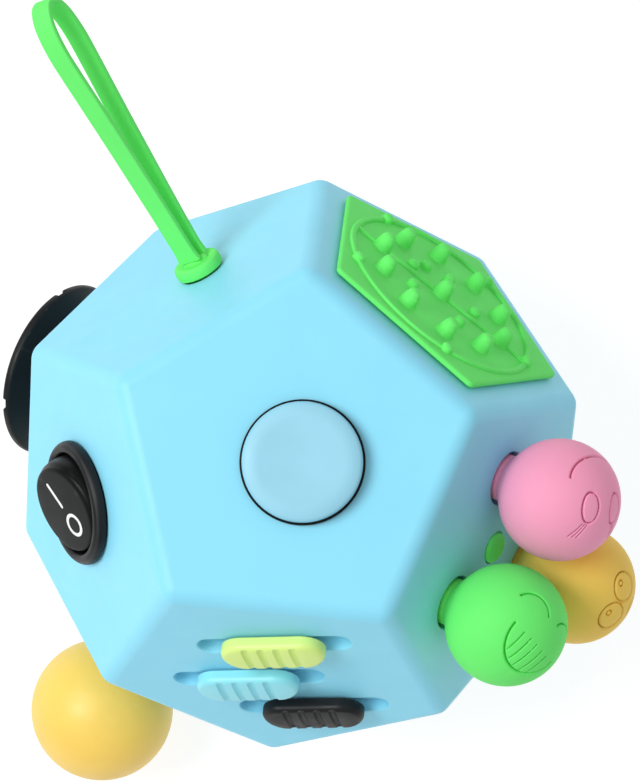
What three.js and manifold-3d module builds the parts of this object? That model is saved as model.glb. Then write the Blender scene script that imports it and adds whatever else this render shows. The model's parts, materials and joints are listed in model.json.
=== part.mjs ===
// Twelve-sided fidget toy: a rounded dodecahedron with a different toy on each side.
// Millimetres, +Z up. The origin is the middle of the silicone base pad, on the table.
import * as THREE from 'three';
import { ConvexGeometry } from 'three/addons/geometries/ConvexGeometry.js';
import { mergeVertices } from 'three/addons/utils/BufferGeometryUtils.js';
import Module from 'manifold-3d';

const wasm = await Module();
wasm.setup();

// ---- driving dimensions -------------------------------------------------------------
const INRADIUS = 30;        // body centre to each flat side
const FILLET = 2.5;         // rounding of the body's edges and corners
const WALL = 2.2;           // wall of the two shells
const GAP = 0.3;            // clearance between neighbouring pieces
const BASE_PROUD = 1.2;     // the base pad stands this far out of the bottom side
const BODY_Z = INRADIUS + BASE_PROUD;
const INSIDE = -WALL;       // inner face of a side's wall, in that side's own frame

const BOSS_RADIUS = 13.2;   // screw bosses stand on this circle
const BOSS_AZIMUTHS = [72, 144, 288];
const BOSS_OUTER = 2.9;
const SCREW = { head: 2.0, shaft: 1.1, sink: 8, headHeight: 1.5, length: 26 };

const GLIDE = { x: 1.5, y: -0.7, cap: 7.3, flange: 7.6, stem: 2, travel: 1.5 };
const STRAP = { x: -2.2, y: 1.0, turn: 54, width: 3.1, thick: 0.85, foot: 1.3, hinge: 3.5, top: 40.4 };
const MAT = { corner: 18.4, top: 1.05, ring: 13.6, cones: 9.5, turn: 5.6 };
const BALL = { radius: 7.55, height: 7.75, ring: 9.65, ringY: -1.13, neck: 2.9, hole: 3.5 };
const NUB = { x: 0, y: -0.8, radius: 2, top: 0.75 };
const SLIDER = { turn: 15, slot: 19.4, slotWidth: 3.6, recess: 1, knob: 12.6, width: 4.9,
  top: 2.3, neck: 5, neckWidth: 2, travel: 3 };
const SLIDER_PLACES = [[2.1, 8.5], [-3.4, -0.3], [3.0, -8.7]];
const ROCKER = { x: -1, y: -0.5, turn: 9, bezel: 7.9, opening: 6.45, barrel: 7, depth: 13,
  rim: 1.7, pivot: 0.4, reach: 6.15, rest: 13 };
const DIAL = { radius: 11.9, top: 9.6, rim: 1.1, hub: 4.2, notches: 4, notchTurn: 50.6 };
const STICK = { x: 0.9, y: 0, ball: 9.5, height: 16.45, shaft: 2.2, pivot: -4.5 };
const BUTTON = { count: 5, ring: 8.2, radius: 2.9, top: 1.6 };
const GEAR = { radius: 5.4, teeth: 10, width: 2.4, pitch: 4.2, axle: -3.6, axleRadius: 0.9 };
const STONE = { hole: 11.2, rim: 12.6 };
const BASE_PAD = 16.2;      // base pad, centre to each straight edge

// ---- materials ----------------------------------------------------------------------
const material = (color, roughness = 0.5, metalness = 0) =>
  new THREE.MeshStandardMaterial({ color, roughness, metalness });
const BLUE = material(0x9ae6fe, 0.45);
const PALE_BLUE = material(0x9ed7f2, 0.5);
const SKY = material(0x76c8d6, 0.45);
const GREEN = material(0x6dfc74, 0.6);
const PINK = material(0xfcabcb, 0.6);
const YELLOW = material(0xf9d26e, 0.6);
const LIME = material(0xcbf18a, 0.5);
const BLACK = material(0x24282a, 0.45);
const GREY = material(0x8c9296, 0.5);
const STEEL = material(0xc4c8cc, 0.3, 0.9);
const BRASS = material(0xc9a555, 0.35, 0.9);

// ---- solids and booleans ------------------------------------------------------------
function closed(geometry) {
  let g = geometry.clone();
  g.deleteAttribute('normal');
  g.deleteAttribute('uv');
  g = mergeVertices(g, 1e-4);
  const p = g.attributes.position.array;
  const index = g.index.array;
  const kept = [];
  let volume = 0;
  const [a, b, c] = [new THREE.Vector3(), new THREE.Vector3(), new THREE.Vector3()];
  for (let i = 0; i < index.length; i += 3) {
    const [u, v, w] = [index[i], index[i + 1], index[i + 2]];
    if (u === v || v === w || w === u) continue;
    kept.push(u, v, w);
    a.fromArray(p, 3 * u);
    b.fromArray(p, 3 * v);
    c.fromArray(p, 3 * w);
    volume += a.dot(b.cross(c));
  }
  if (volume < 0) {
    for (let i = 0; i < kept.length; i += 3) [kept[i], kept[i + 1]] = [kept[i + 1], kept[i]];
  }
  g.setIndex(kept);
  return g;
}

function toSolid(shape, matrix) {
  if (!shape.isBufferGeometry) return matrix ? shape.transform(matrix.elements) : shape;
  const g = closed(shape);
  if (matrix) g.applyMatrix4(matrix);
  return new wasm.Manifold(new wasm.Mesh({
    numProp: 3,
    vertProperties: new Float32Array(g.attributes.position.array),
    triVerts: new Uint32Array(g.index.array),
  }));
}

function toGeometry(shape) {
  if (shape.isBufferGeometry) return closed(shape);
  const mesh = shape.getMesh();
  const g = new THREE.BufferGeometry();
  g.setAttribute('position', new THREE.BufferAttribute(mesh.vertProperties, 3));
  g.setIndex(new THREE.BufferAttribute(mesh.triVerts, 1));
  return g;
}

const join = (first, ...rest) => rest.reduce((a, b) => a.add(toSolid(b)), toSolid(first));
const cut = (first, ...rest) => rest.reduce((a, b) => a.subtract(toSolid(b)), toSolid(first));
const common = (first, second) => toSolid(first).intersect(toSolid(second));

// ---- plain shapes, each standing on the XY plane with its axis along Z ---------------
const rad = THREE.MathUtils.degToRad;
const around = (radius, degrees) => [radius * Math.cos(rad(degrees)), radius * Math.sin(rad(degrees))];

function lathe(profile, segments = 16) {
  const points = profile.map(([r, z]) => new THREE.Vector2(r, z));
  return closed(new THREE.LatheGeometry(points, segments).rotateX(Math.PI / 2));
}

const disc = (radius, z0, z1, segments = 16) =>
  lathe([[0, z0], [radius, z0], [radius, z1], [0, z1]], segments);

const tube = (outer, inner, z0, z1, segments = 16) =>
  lathe([[inner, z0], [outer, z0], [outer, z1], [inner, z1], [inner, z0]], segments);

const block = (x0, x1, y0, y1, z0, z1) =>
  new THREE.BoxGeometry(x1 - x0, y1 - y0, z1 - z0).translate((x0 + x1) / 2, (y0 + y1) / 2, (z0 + z1) / 2);

function prism(shape, z0, z1, curveSegments = 8) {
  const options = { depth: z1 - z0, bevelEnabled: false, curveSegments };
  return closed(new THREE.ExtrudeGeometry(shape, options).translate(0, 0, z0));
}

function stadium(length, width) {
  const half = (length - width) / 2;
  const shape = new THREE.Shape();
  shape.absarc(half, 0, width / 2, -Math.PI / 2, Math.PI / 2);
  shape.absarc(-half, 0, width / 2, Math.PI / 2, 1.5 * Math.PI);
  return shape;
}

function pentagon(inradius, firstCorner) {
  const corner = inradius / Math.cos(rad(36));
  const points = [0, 1, 2, 3, 4].map((k) => new THREE.Vector2(...around(corner, firstCorner + 72 * k)));
  return new THREE.Shape(points);
}

function arc(cx, cz, radius, from, to, steps) {
  const points = [];
  for (let i = 0; i <= steps; i++) {
    const [r, z] = around(radius, from + ((to - from) * i) / steps);
    points.push([cx + r, cz + z]);
  }
  return points;
}

const lying = (geometry) => geometry.rotateX(Math.PI / 2);   // axis Z to axis -Y
const across = (geometry) => geometry.rotateY(Math.PI / 2);  // axis Z to axis X

// ---- the dodecahedron's twelve sides -------------------------------------------------
const UP = new THREE.Vector3(0, 0, 1);
const RING_Z = 1 / Math.sqrt(5);
const ringNormal = (azimuth) => new THREE.Vector3(
  2 * RING_Z * Math.sin(rad(azimuth)), 2 * RING_Z * Math.cos(rad(azimuth)), RING_Z);
const upperRing = [-36, 36, 108, 180, 252].map(ringNormal);
const lowerRing = upperRing.map((n) => n.clone().negate());
const normals = [UP, ...upperRing, ...lowerRing, UP.clone().negate()];

const touching = (a, b) => Math.abs(a.dot(b) - RING_Z) < 1e-6;

function corners(inradius) {
  const list = [];
  for (let i = 0; i < 12; i++) {
    for (let j = i + 1; j < 12; j++) {
      for (let k = j + 1; k < 12; k++) {
        const [a, b, c] = [normals[i], normals[j], normals[k]];
        if (!touching(a, b) || !touching(b, c) || !touching(a, c)) continue;
        const at = a.clone().add(b).add(c).multiplyScalar(inradius / (1 + 2 * RING_Z));
        list.push({ at, sides: [a, b, c] });
      }
    }
  }
  return list;
}

function roundedBody(inradius, fillet, steps) {
  const points = [];
  for (const { at, sides } of corners(inradius - fillet)) {
    for (let i = 0; i <= steps; i++) {
      for (let j = 0; j <= steps - i; j++) {
        const way = sides[0].clone().multiplyScalar(i)
          .addScaledVector(sides[1], j)
          .addScaledVector(sides[2], steps - i - j)
          .normalize();
        points.push(at.clone().addScaledVector(way, fillet));
      }
    }
  }
  return new ConvexGeometry(points);
}

// The space over the upper six sides: a star of pyramids from the centre, so that the
// joint between the shells follows the body's edges in a zigzag.
function upperSpace(size) {
  const all = corners(size);
  const triangles = [];
  const rims = new Map();
  for (const normal of normals.slice(0, 6)) {
    const centre = normal.clone().multiplyScalar(size);
    const first = all.find(({ sides }) => sides.includes(normal)).at.clone().sub(centre);
    const angle = ({ at }) => {
      const arm = at.clone().sub(centre);
      return Math.atan2(first.clone().cross(arm).dot(normal), first.dot(arm));
    };
    const loop = all.filter(({ sides }) => sides.includes(normal)).sort((a, b) => angle(a) - angle(b));
    loop.forEach(({ at }, k) => {
      const next = loop[(k + 1) % 5].at;
      triangles.push(centre, at, next);
      const key = [at, next].map((v) => all.findIndex((c) => c.at === v)).sort().join();
      rims.set(key, rims.has(key) ? null : [at, next]);
    });
  }
  for (const rim of rims.values()) {
    if (rim) triangles.push(new THREE.Vector3(), rim[1], rim[0]);
  }
  return new THREE.BufferGeometry().setFromPoints(triangles);
}

// ---- the assembly --------------------------------------------------------------------
const toy = new THREE.Group();
const body = new THREE.Group();
body.position.z = BODY_Z;
toy.add(body);

// A side's frame: origin in the middle of the side, z out of it, y towards the top side.
function sideGroup(normal, towards) {
  const y = towards.clone().addScaledVector(normal, -normal.dot(towards)).normalize();
  const x = y.clone().cross(normal);
  const group = new THREE.Group();
  group.quaternion.setFromRotationMatrix(new THREE.Matrix4().makeBasis(x, y, normal));
  group.position.copy(normal).multiplyScalar(INRADIUS);
  body.add(group);
  return group;
}

function placed(group, x = 0, y = 0, turn = 0) {
  const inner = new THREE.Group();
  inner.position.set(x, y, 0);
  inner.rotation.z = rad(turn);
  group.add(inner);
  return inner;
}

function piece(name, shape, look, group) {
  const mesh = new THREE.Mesh(toGeometry(shape), look);
  mesh.name = name;
  group.add(mesh);
  return mesh;
}

const shellCuts = [];     // holes in the shells, as solids in the body's frame
const shellAdds = [];     // bosses inside the shells, likewise
function inBody(group, shape) {
  group.updateWorldMatrix(true, false);
  const toBody = new THREE.Matrix4().makeTranslation(0, 0, -BODY_Z).multiply(group.matrixWorld);
  return toSolid(shape, toBody);
}
const hole = (group, shape) => shellCuts.push(inBody(group, shape));
const boss = (group, shape) => shellAdds.push(inBody(group, shape));

const Y_AXIS = new THREE.Vector3(0, 1, 0);
const side = {
  glide: sideGroup(UP, Y_AXIS),
  strap: sideGroup(upperRing[0], UP),
  mat: sideGroup(upperRing[1], UP),
  balls: sideGroup(upperRing[2], UP),
  sliders: sideGroup(upperRing[3], UP),
  rocker: sideGroup(upperRing[4], UP),
  buttons: sideGroup(lowerRing[0], UP),
  stick: sideGroup(lowerRing[1], UP),
  dial: sideGroup(lowerRing[2], UP),
  gears: sideGroup(lowerRing[3], UP),
  stone: sideGroup(lowerRing[4], UP),
  base: sideGroup(UP.clone().negate(), Y_AXIS),
};

// Glide pad: a cap that slides any way, on a cross slide under the wall.
function glidePad() {
  const at = placed(side.glide, GLIDE.x, GLIDE.y);
  const rim = GLIDE.cap;
  const trayOuter = 8.2;
  const pocketFloor = INSIDE - 2.7;
  const trayFloor = pocketFloor - 1.4;
  const swing = GLIDE.travel * Math.SQRT2 + GLIDE.stem + 0.4;
  hole(at, disc(swing, -4, 1));
  piece('glide_cap', lathe([[0, 1], [rim - 0.3, 1], [rim, 1.3], [rim, 1.9], [rim - 0.5, 2.45],
    [rim - 1.5, 2.6], [0, 2.35]], 24), PALE_BLUE, at);
  piece('glide_stem', lathe([[0, -7.8], [GLIDE.stem, -7.8], [GLIDE.stem, 0.3], [GLIDE.flange, 0.3],
    [GLIDE.flange, 0.7], [0, 0.7]], 24), BLACK, at);
  const pocket = block(-6.5, 6.5, -6.4, 6.4, pocketFloor, 0);
  piece('glide_tray', cut(disc(trayOuter, trayFloor, INSIDE - GAP, 20), pocket,
    disc(swing, trayFloor - 1, 0)), BLACK, at);
  const slot = prism(stadium(2 * (GLIDE.stem + GLIDE.travel + GAP), 2 * (GLIDE.stem + GAP)), -6, 0);
  piece('glide_carriage', cut(block(-6.2, 6.2, -4.6, 4.6, pocketFloor + GAP, INSIDE - 0.6), slot), GREY, at);
  piece('glide_retainer', tube(5.6, GLIDE.stem + GAP, trayFloor - 1.1, trayFloor - GAP), BLACK, at);
}

// Wrist strap: a narrow silicone loop standing in an oval grommet.
function strapLoop() {
  const at = placed(side.strap, STRAP.x, STRAP.y);
  hole(at, disc(2.5, -4, 1));
  const grommet = lathe([[0, -3.7], [4, -3.7], [4, INSIDE - GAP], [2, INSIDE - GAP], [2, GAP], [3.1, GAP],
    [3.15, 1.2], [2.9, 1.75], [2.3, 1.9], [0, 1.9]], 16).scale(1, 0.94, 1);
  piece('strap_grommet', grommet, GREEN, placed(at, 0, 0, 90 + STRAP.turn));

  // half of the loop's middle line: distance from the loop's axis against height
  const half = [[0.8, STRAP.hinge - 0.4], [1.2, 10], [1.75, 22], [2.35, 31], [2.5, 34.5], [2.05, 37.9],
    [1.1, 39.6], [0, STRAP.top - STRAP.thick / 2]];
  const line = [...half.map(([x, y]) => new THREE.Vector2(-x, y)),
    ...half.slice(0, -1).reverse().map(([x, y]) => new THREE.Vector2(x, y))];
  const curve = new THREE.SplineCurve(line);
  const steps = 28;
  const outer = [];
  const inner = [];
  for (let i = 0; i <= steps; i++) {
    const p = curve.getPoint(i / steps);
    const t = curve.getTangent(i / steps);
    const normal = new THREE.Vector2(-t.y, t.x).multiplyScalar(STRAP.thick / 2);
    outer.push(p.clone().add(normal));
    inner.push(p.clone().sub(normal));
  }
  const band = prism(new THREE.Shape([...outer, ...inner.reverse()]), -STRAP.width / 2, STRAP.width / 2);
  const foot = disc(STRAP.foot, -STRAP.width / 2, STRAP.width / 2).translate(0, STRAP.hinge, 0);
  const frame = new THREE.Group();
  const w = new THREE.Vector3(-Math.sin(rad(STRAP.turn)), Math.cos(rad(STRAP.turn)), 0);
  const n = new THREE.Vector3(0, 0, 1);
  const g = n.clone().cross(w);
  frame.quaternion.setFromRotationMatrix(new THREE.Matrix4().makeBasis(g, n, w));
  at.add(frame);
  piece('strap_loop', join(band, foot), GREEN, frame);
}

// Massage mat: a pentagon of silicone with a ring rib, a cross rib, cones and beads.
function massageMat() {
  const at = side.mat;
  const plate = prism(pentagon(MAT.corner * Math.cos(rad(36)), -90), GAP, MAT.top);
  const ring = lathe([[MAT.ring - 0.45, 0.8], [MAT.ring + 0.45, 0.8], [MAT.ring + 0.3, 1.45],
    [MAT.ring - 0.3, 1.45], [MAT.ring - 0.45, 0.8]], 30);
  const rib = block(-MAT.ring, MAT.ring, -0.35, 0.35, 0.8, 1.4).rotateZ(rad(MAT.turn));
  const cone = [[0, 0.8], [1.1, 0.8], [0.85, 2.2], [0.4, 3.2], [0, 3.3]];
  const bead = [[0, 0.8], [0.75, 0.8], [0.6, 1.5], [0, 1.8]];
  const studs = [];
  const stud = (profile, radius, angle) => {
    const [x, y] = around(radius, angle);
    studs.push(lathe(profile, 7).translate(x, y, 0));
  };
  stud(cone, 0, 0);
  for (let k = 0; k < 10; k++) stud(cone, MAT.cones, MAT.turn + 36 * k);
  for (let k = 0; k < 5; k++) stud(bead, MAT.ring, 41.6 + 72 * k);
  for (const angle of [51, 142, 207, 277, 319, 348]) stud(bead, 5.2, angle);
  const pegs = [30, 150, 270].map((angle) => {
    const [x, y] = around(9, angle);
    hole(at, disc(1.3, -4, 1, 10).translate(x, y, 0));
    return disc(1, -3, 0.8, 8).translate(x, y, 0);
  });
  piece('massage_mat', join(plate, ring, rib, ...studs, ...pegs), GREEN, at);
}

// Three silicone balls on necks, a sheet behind the wall that holds them, and its nub.
function faceBalls() {
  const at = side.balls;
  const names = ['pink', 'green', 'yellow'];
  const looks = [PINK, GREEN, YELLOW];
  const neckAngle = Math.asin(BALL.neck / BALL.radius) * (180 / Math.PI) - 90;
  const neckEnd = INSIDE + 0.45;
  const profile = [[0, neckEnd], [BALL.neck, neckEnd],
    ...arc(0, BALL.height, BALL.radius, neckAngle, 90, 7)];
  profile[profile.length - 1][0] = 0;
  names.forEach((name, k) => {
    const [x, y] = around(BALL.ring, 30 + 120 * k);
    hole(at, disc(BALL.hole, -4, 1).translate(x, y + BALL.ringY, 0));
    piece(`face_ball_${name}`, lathe(profile, 16), looks[k], placed(at, x, y + BALL.ringY));
  });
  hole(at, disc(NUB.radius + GAP, -4, 1, 16).translate(NUB.x, NUB.y, 0));
  const nub = lathe([[0, -3], [NUB.radius, -3], [NUB.radius, 0.3], [1.3, NUB.top - 0.1], [0, NUB.top]], 12);
  piece('ball_sheet', join(disc(13.4, -3.7, INSIDE - GAP, 20), nub.translate(NUB.x, NUB.y, 0)), GREEN, at);
  piece('ball_backing_plate', disc(13, -5.2, -4, 20), BLACK, at);
}

// Three sliders in sunk tracks, each with a clip behind the wall, over one track plate.
function sliders() {
  const turned = placed(side.sliders, 0, 0, SLIDER.turn);
  const looks = [LIME, SKY, BLACK];
  SLIDER_PLACES.forEach(([x, y], k) => {
    const at = placed(turned, x, y);
    hole(at, prism(stadium(SLIDER.slot, SLIDER.slotWidth), -SLIDER.recess, 1, 6));
    const slit = SLIDER.neck + 2 * SLIDER.travel + 2 * GAP;
    hole(at, prism(stadium(slit, SLIDER.neckWidth + 2 * GAP), -4, 1, 4));
    const grip = prism(stadium(SLIDER.knob, SLIDER.width), GAP, SLIDER.top, 6);
    const neck = prism(stadium(SLIDER.neck, SLIDER.neckWidth), -4, 1, 4);
    piece(`slider_knob_${k + 1}`, join(grip, neck), looks[k], at);
    const eye = block(-SLIDER.neck / 2 - GAP, SLIDER.neck / 2 + GAP, -SLIDER.neckWidth / 2 - GAP,
      SLIDER.neckWidth / 2 + GAP, -9, 1);
    piece(`slider_clip_${k + 1}`, cut(prism(stadium(8.4, 5), INSIDE - 1.4, INSIDE - GAP, 4), eye), GREY, at);
  });
  piece('slider_track_plate', disc(13.6, -5.5, -4.4, 20), BLACK, side.sliders);
}

// Round rocker switch: bezel with barrel, rocking paddle on side pins, and a leaf spring.
function rockerSwitch() {
  const at = placed(side.rocker, ROCKER.x, ROCKER.y, ROCKER.turn);
  hole(at, disc(ROCKER.barrel + GAP, -4, 1, 24));
  const floor = -ROCKER.depth;
  const inner = ROCKER.barrel - 0.9;
  const shell = lathe([[0, floor], [ROCKER.barrel, floor], [ROCKER.barrel, GAP], [ROCKER.bezel, GAP],
    [ROCKER.bezel, 1], [ROCKER.bezel - 0.5, ROCKER.rim], [ROCKER.opening + 0.3, ROCKER.rim],
    [ROCKER.opening, ROCKER.rim - 0.3], [ROCKER.opening, -0.8], [inner, -1.2], [inner, floor + 1.5],
    [0, floor + 1.5]], 24);
  const pinHole = lying(disc(1.1, -7.4, 7.4, 12)).translate(0, 0, ROCKER.pivot);
  piece('rocker_bezel', cut(shell, pinHole), BLACK, at);

  // paddle outline seen along its pins: two wings that rise away from the middle
  const outline = new THREE.Shape([[-5.5, 2.6], [-6.15, 1], [-5, -2.4], [-1.6, -3], [0, -4.4], [1.6, -3],
    [5, -2.4], [6.15, 1], [5.5, 2.6], [0, 1]].map(([x, z]) => new THREE.Vector2(x, z)));
  const wings = lying(prism(outline, -7, 7));
  const reach = new THREE.SphereGeometry(ROCKER.reach, 18, 10);
  const pins = lying(disc(0.8, -6.9, 6.9, 10));
  const paddle = join(common(wings, reach), pins);
  const tilted = new THREE.Group();
  tilted.position.z = ROCKER.pivot;
  tilted.rotation.y = rad(ROCKER.rest);
  at.add(tilted);
  piece('rocker_paddle', paddle, BLACK, tilted);
  const leaf = new THREE.Shape([[-4.5, -11.1], [4.5, -11.1], [4.5, -10.7], [1.6, -7], [0, -8.4], [-1.6, -7],
    [-4.5, -10.7]].map(([x, z]) => new THREE.Vector2(x, z)));
  piece('rocker_leaf_spring', lying(prism(leaf, -1.5, 1.5)), STEEL, at);
}

// Dial: a notched disc on a hub that spins round a shoulder screw in a brass bush.
function dial() {
  const at = side.dial;
  boss(at, disc(5.2, -5.6, INSIDE + 0.5, 16));
  hole(at, disc(3.3, -7, 1));
  const under = DIAL.top - DIAL.rim;
  const wheel = lathe([[2.2, 0.7], [DIAL.hub, 0.7], [DIAL.hub, 5.4], [6.5, 6.4], [DIAL.radius, under],
    [DIAL.radius, DIAL.top - 0.3], [DIAL.radius - 0.3, DIAL.top], [8.6, DIAL.top - 0.1], [7.2, DIAL.top - 0.9],
    [3.9, DIAL.top - 1.1], [3.9, 6.6], [2.2, 6.6], [2.2, 0.7]], 32);
  const notches = [];
  for (let k = 0; k < DIAL.notches; k++) {
    notches.push(block(DIAL.radius - 0.5, DIAL.radius + 1, -0.65, 0.65, DIAL.top - 0.6, DIAL.top + 1)
      .rotateZ(rad(DIAL.notchTurn + (360 / DIAL.notches) * k)));
  }
  piece('dial_wheel', cut(wheel, ...notches), BLACK, at);
  piece('dial_axle', lathe([[0, -9.4], [1.7, -9.4], [1.7, 6.9], [3.2, 6.9], [3.2, 7.7], [0, 7.7]]), STEEL, at);
  piece('dial_cap', disc(3.6, 8, 8.7), BLACK, at);
  piece('dial_bush', lathe([[2, -6.8], [4.4, -6.8], [4.4, -5.9], [3, -5.9], [3, 0.3], [2, 0.3], [2, -6.8]]),
    BRASS, at);
  piece('dial_nut', cut(prism(new THREE.Shape([0, 1, 2, 3, 4, 5].map((k) =>
    new THREE.Vector2(...around(3.4, 60 * k)))), -9, -7.1), disc(2, -10, 0)), STEEL, at);
}

// Ball-top stick: the knob's shaft tips both ways in a gimbal ring under the wall.
function ballStick() {
  const at = placed(side.stick, STICK.x, STICK.y);
  hole(at, disc(4, -4, 1));
  const low = STICK.height - STICK.ball;
  const mouth = 3;
  const start = Math.asin(mouth / STICK.ball) * (180 / Math.PI) - 90;
  const knob = [[0, low + 8], [2.5, low + 8], [2.5, low + 0.5], ...arc(0, STICK.height, STICK.ball, start, 90, 8)];
  knob[knob.length - 1][0] = 0;
  piece('stick_knob', lathe(knob, 18), YELLOW, at);
  const shaft = disc(STICK.shaft, -9, low + 7.6, 16);
  const pins = lying(disc(0.7, -5.4, 5.4, 10)).translate(0, 0, STICK.pivot);
  piece('stick_shaft', join(shaft, pins), STEEL, at);
  const ring = tube(6, 4.4, STICK.pivot - 1.5, STICK.pivot + 1.5, 20);
  const ringHoles = lying(disc(1, -7, 7, 10)).translate(0, 0, STICK.pivot);
  const stub = (from, to) => across(disc(0.7, from, to, 10)).translate(0, 0, STICK.pivot);
  piece('stick_gimbal', join(cut(ring, ringHoles), stub(-7.7, -5), stub(5, 7.7)), GREY, at);
  const cup = tube(8.6, 6.6, -8.4, INSIDE - GAP, 20);
  const cupHoles = across(disc(1, -9, 9, 10)).translate(0, 0, STICK.pivot);
  piece('stick_housing', cut(cup, cupHoles), BLACK, at);
  piece('stick_collar', lathe([[3.6, 0.3], [6.4, 0.3], [6.2, 1], [4.6, 1.4], [3.6, 1.3], [3.6, 0.3]], 20),
    BLACK, at);
}

// Five press buttons over a rubber dome sheet on a plate.
function buttons() {
  const at = side.buttons;
  const looks = [YELLOW, GREEN, PINK, SKY, LIME];
  const domes = [];
  for (let k = 0; k < BUTTON.count; k++) {
    const [x, y] = around(BUTTON.ring, 90 + 72 * k);
    hole(at, disc(BUTTON.radius + GAP, -4, 1).translate(x, y, 0));
    const cap = lathe([[0, -3.2], [3.9, -3.2], [3.9, INSIDE - GAP], [BUTTON.radius, INSIDE - GAP],
      [BUTTON.radius, 1], [BUTTON.radius - 0.5, 1.4], [1.6, BUTTON.top], [0, BUTTON.top]]);
    piece(`press_button_${k + 1}`, cap, looks[k], placed(at, x, y));
    domes.push(lathe([[0, -4.9], [2, -4.9], [1.5, -4.55], [0, -4.45]], 8).translate(x, y, 0));
  }
  piece('button_dome_sheet', join(disc(11.3, -5.4, -4.75, 20), ...domes), GREY, at);
  piece('button_plate', disc(11.3, -6.5, -5.7, 20), BLACK, at);
}

// Three toothed rollers on one axle in a bracket, showing through windows.
function gears() {
  const at = side.gears;
  const looks = [YELLOW, GREEN, PINK];
  const outline = [];
  for (let k = 0; k < 4 * GEAR.teeth; k++) {
    const radius = k % 4 < 2 ? GEAR.radius : GEAR.radius - 0.8;
    outline.push(new THREE.Vector2(...around(radius, (90 / GEAR.teeth) * (k + (k % 2 ? -0.15 : 0.15)))));
  }
  const shape = new THREE.Shape(outline);
  shape.holes.push(new THREE.Path().absarc(0, 0, GEAR.axleRadius + GAP, 0, 2 * Math.PI, true));
  const chord = Math.sqrt(GEAR.radius ** 2 - (GEAR.axle - INSIDE) ** 2) + 0.5;
  [-1, 0, 1].forEach((k) => {
    const x = k * GEAR.pitch;
    hole(at, block(x - 1.55, x + 1.55, -chord, chord, -4, 1));
    const wheel = across(prism(shape, -GEAR.width / 2, GEAR.width / 2, 6)).translate(x, 0, GEAR.axle);
    piece(`gear_${k + 2}`, wheel, looks[k + 1], at);
  });
  piece('gear_axle', across(disc(GEAR.axleRadius, -8.6, 8.6, 12)).translate(0, 0, GEAR.axle), STEEL, at);
  const frame = block(-8.2, 8.2, -6.6, 6.6, -10.6, INSIDE - GAP);
  const well = block(-7, 7, -5.8, 5.8, -9.4, 0);
  const bore = across(disc(GEAR.axleRadius + GAP, -9, 9, 12)).translate(0, 0, GEAR.axle);
  piece('gear_bracket', cut(frame, well, bore), BLACK, at);
}

// Worry stone: a shallow thumb dish let into its side.
function worryStone() {
  const at = side.stone;
  hole(at, disc(STONE.hole, -4, 1, 24));
  piece('worry_stone', lathe([[0, -2.8], [5, -2.5], [10.6, -1.2], [10.9, 0.3], [STONE.rim, 0.3],
    [STONE.rim, 0.7], [STONE.rim - 0.4, 1], [11.5, 1], [9.5, -0.1], [5, -1.3], [0, -1.6]], 24), SKY, at);
}

// Base pad that the toy rests on, over the three housing screws.
function basePad() {
  piece('base_pad', prism(pentagon(BASE_PAD, -90), GAP, BASE_PROUD), BLUE, side.base);
}

function housingScrew(azimuth, k) {
  const at = new THREE.Group();
  at.position.set(BOSS_RADIUS * Math.sin(rad(azimuth)), BOSS_RADIUS * Math.cos(rad(azimuth)), 0);
  body.add(at);
  const seat = -INRADIUS + SCREW.sink;
  const head = seat - SCREW.headHeight;
  piece(`housing_screw_${k + 1}`, lathe([[0, head], [SCREW.head, head], [SCREW.head, seat - GAP],
    [SCREW.shaft, seat - GAP], [SCREW.shaft, seat + SCREW.length - 1], [0, seat + SCREW.length]], 12), STEEL, at);
  return at;
}

function shells() {
  const outer = toSolid(roundedBody(INRADIUS, FILLET, 2));
  const wall = outer.subtract(toSolid(new ConvexGeometry(corners(INRADIUS - WALL).map(({ at }) => at))));
  const space = toSolid(upperSpace(INRADIUS * 1.8));
  const split = GAP * 0.6;
  let front = wall.intersect(space.translate([0, 0, split]));
  let rear = wall.subtract(space.translate([0, 0, -split]));
  const inner = INRADIUS - WALL + 0.5;
  BOSS_AZIMUTHS.forEach((azimuth, k) => {
    const at = housingScrew(azimuth, k);
    const seat = -INRADIUS + SCREW.sink;
    const pilot = inBody(at, disc(SCREW.shaft + GAP, seat - 2, seat + SCREW.length + 1, 12));
    const sink = inBody(at, disc(SCREW.head + GAP, -INRADIUS - 1, seat, 16));
    front = front.add(inBody(at, disc(BOSS_OUTER, split, inner, 16))).subtract(pilot);
    rear = rear.add(inBody(at, disc(BOSS_OUTER, -inner, -split, 16))).subtract(pilot).subtract(sink);
  });
  for (const solid of shellAdds) rear = rear.add(solid);
  for (const solid of shellCuts) {
    front = front.subtract(solid);
    rear = rear.subtract(solid);
  }
  piece('front_shell', front, BLUE, body);
  piece('rear_shell', rear, BLUE, body);
}

glidePad();
strapLoop();
massageMat();
faceBalls();
sliders();
rockerSwitch();
dial();
ballStick();
buttons();
gears();
worryStone();
basePad();
shells();

export default toy;
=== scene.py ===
import json
import math

import bmesh
import bpy
import numpy as np
from mathutils import Matrix, Vector


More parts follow.
